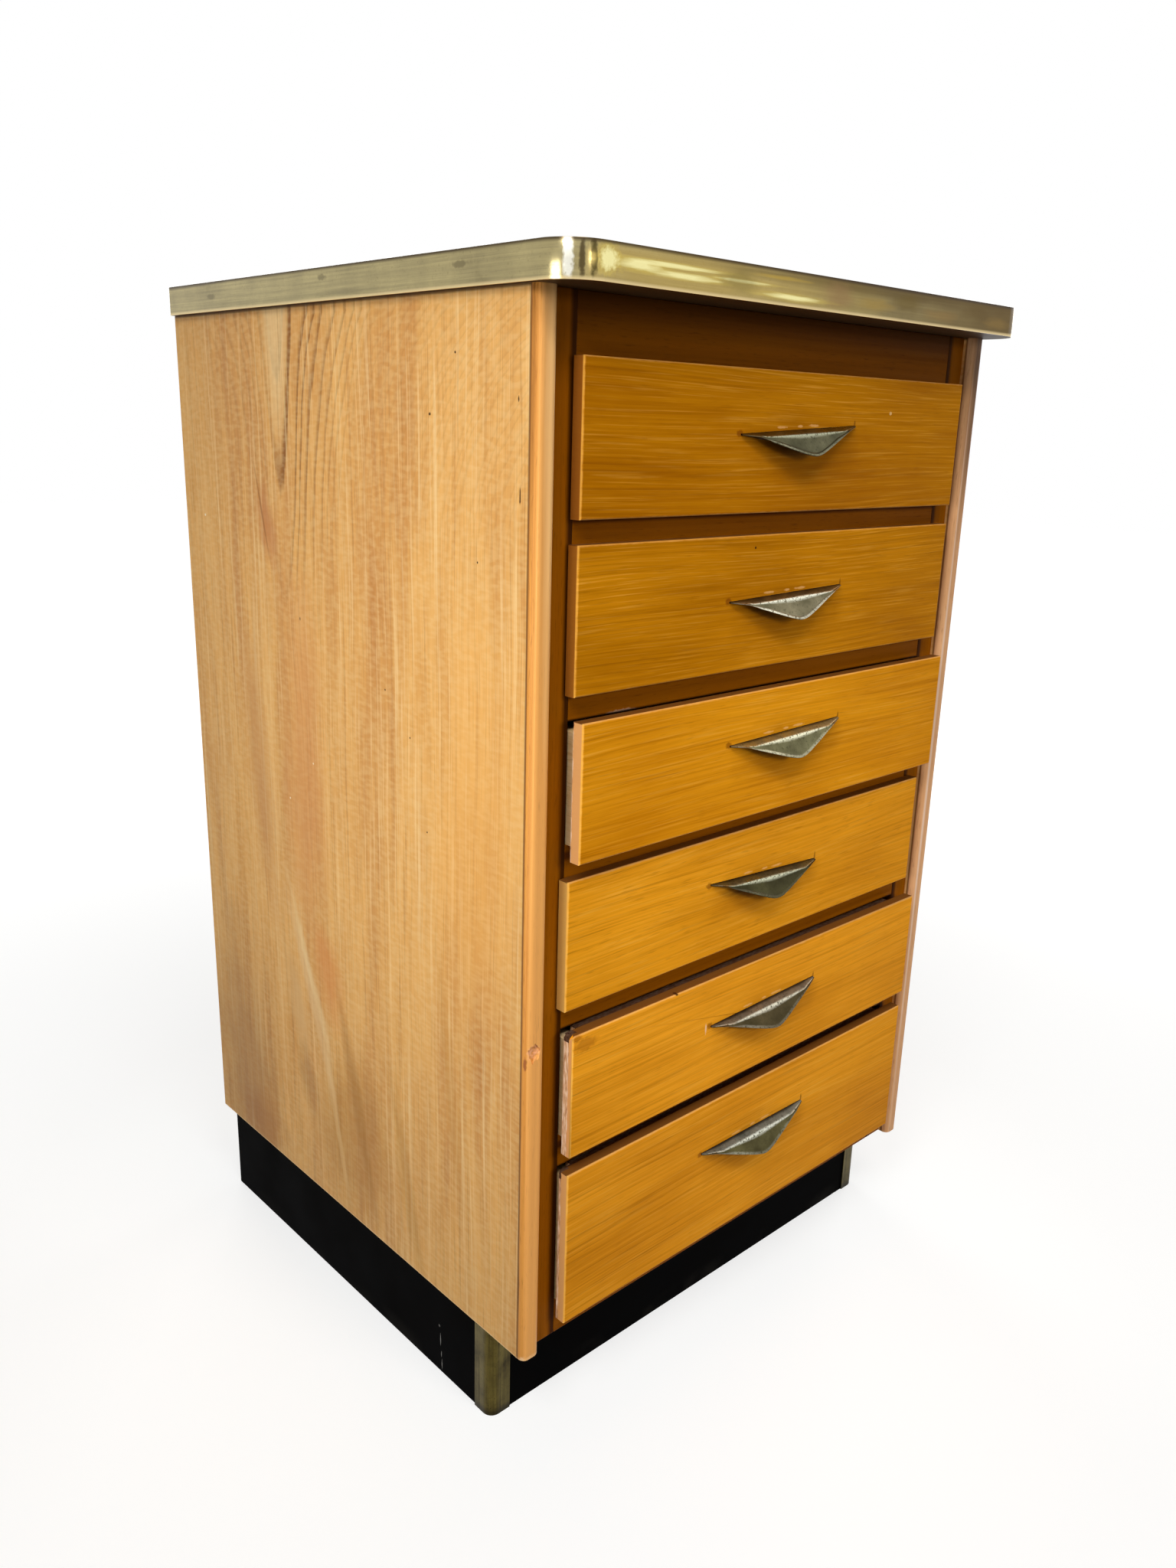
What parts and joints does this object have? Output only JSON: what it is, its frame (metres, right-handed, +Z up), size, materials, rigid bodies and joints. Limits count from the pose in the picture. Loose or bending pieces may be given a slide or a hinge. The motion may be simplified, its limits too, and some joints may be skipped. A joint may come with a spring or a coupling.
{
  "type": "chest of drawers",
  "caption": "Small upright chest of drawers with a brass-edged overhanging top, lipped drawer fronts with brass sail-shaped pulls, and a recessed black plinth with brass corners.",
  "frame": {"origin": "on the floor, under the middle of the whole chest's box", "axes": "+Z up, -Y out of the drawer fronts, +X to the right as seen from the front"},
  "size_m": [0.454, 0.457, 0.776],
  "materials": {
    "veneer": "clear satin lacquer on honey-coloured veneer",
    "lipping": "clear satin lacquer on a solid strip",
    "amber_veneer": "amber satin lacquer on fine straight grain",
    "frame_wood": "amber lacquer, darker",
    "bare_wood": "planed, unfinished",
    "plywood": "sanded, unfinished",
    "black_lacquer": "black paint on wood, low gloss",
    "brass": "polished, lightly tarnished",
    "aged_brass": "aged, greenish grey patina",
    "steel": "dull zinc plate"
  },
  "bodies": {
    "carcass": {"side_left": "veneer", "side_right": "veneer", "lipping_left": "lipping", "lipping_right": "lipping", "bottom_board": "bare_wood", "back_panel": "plywood", "back_panel_pins": "steel", "stile_left": "frame_wood", "stile_right": "frame_wood", "top_rail": "frame_wood", "drawer_rails": "frame_wood", "bottom_rail": "frame_wood", "drawer_runners": "bare_wood", "top_drawer_kickers": "bare_wood", "plinth_front": "black_lacquer", "plinth_side_left": "black_lacquer", "plinth_side_right": "black_lacquer", "plinth_back": "black_lacquer", "plinth_corner_left": "brass", "plinth_corner_right": "brass", "plinth_glue_blocks": "bare_wood", "top_board": "veneer", "top_brass_band": "brass", "band_pins": "brass"},
    "drawer_1": {"drawer_1_front": "amber_veneer", "drawer_1_sides": "bare_wood", "drawer_1_back": "bare_wood", "drawer_1_bottom": "plywood", "drawer_1_pull": "aged_brass", "drawer_1_pull_screws": "steel"},
    "drawer_2": {"drawer_2_front": "amber_veneer", "drawer_2_sides": "bare_wood", "drawer_2_back": "bare_wood", "drawer_2_bottom": "plywood", "drawer_2_pull": "aged_brass", "drawer_2_pull_screws": "steel"},
    "drawer_3": {"drawer_3_front": "amber_veneer", "drawer_3_sides": "bare_wood", "drawer_3_back": "bare_wood", "drawer_3_bottom": "plywood", "drawer_3_pull": "aged_brass", "drawer_3_pull_screws": "steel"},
    "drawer_4": {"drawer_4_front": "amber_veneer", "drawer_4_sides": "bare_wood", "drawer_4_back": "bare_wood", "drawer_4_bottom": "plywood", "drawer_4_pull": "aged_brass", "drawer_4_pull_screws": "steel"},
    "drawer_5": {"drawer_5_front": "amber_veneer", "drawer_5_sides": "bare_wood", "drawer_5_back": "bare_wood", "drawer_5_bottom": "plywood", "drawer_5_pull": "aged_brass", "drawer_5_pull_screws": "steel"},
    "drawer_6": {"drawer_6_front": "amber_veneer", "drawer_6_sides": "bare_wood", "drawer_6_back": "bare_wood", "drawer_6_bottom": "plywood", "drawer_6_pull": "aged_brass", "drawer_6_pull_screws": "steel"}
  },
  "joints": [
    {"name": "drawer_1_slide", "type": "slide", "parent": "carcass", "child": "drawer_1", "axis": [0, -1, 0], "range_m": [-0.0034, 0.2965]},
    {"name": "drawer_2_slide", "type": "slide", "parent": "carcass", "child": "drawer_2", "axis": [0, -1, 0], "range_m": [-0.0024, 0.2975]},
    {"name": "drawer_3_slide", "type": "slide", "parent": "carcass", "child": "drawer_3", "axis": [0, -1, 0], "range_m": [-0.0104, 0.2895]},
    {"name": "drawer_4_slide", "type": "slide", "parent": "carcass", "child": "drawer_4", "axis": [0, -1, 0], "range_m": [-0.0009, 0.299]},
    {"name": "drawer_5_slide", "type": "slide", "parent": "carcass", "child": "drawer_5", "axis": [0, -1, 0], "range_m": [-0.0089, 0.291]},
    {"name": "drawer_6_slide", "type": "slide", "parent": "carcass", "child": "drawer_6", "axis": [0, -1, 0], "range_m": [-0.0074, 0.2925]}
  ]
}
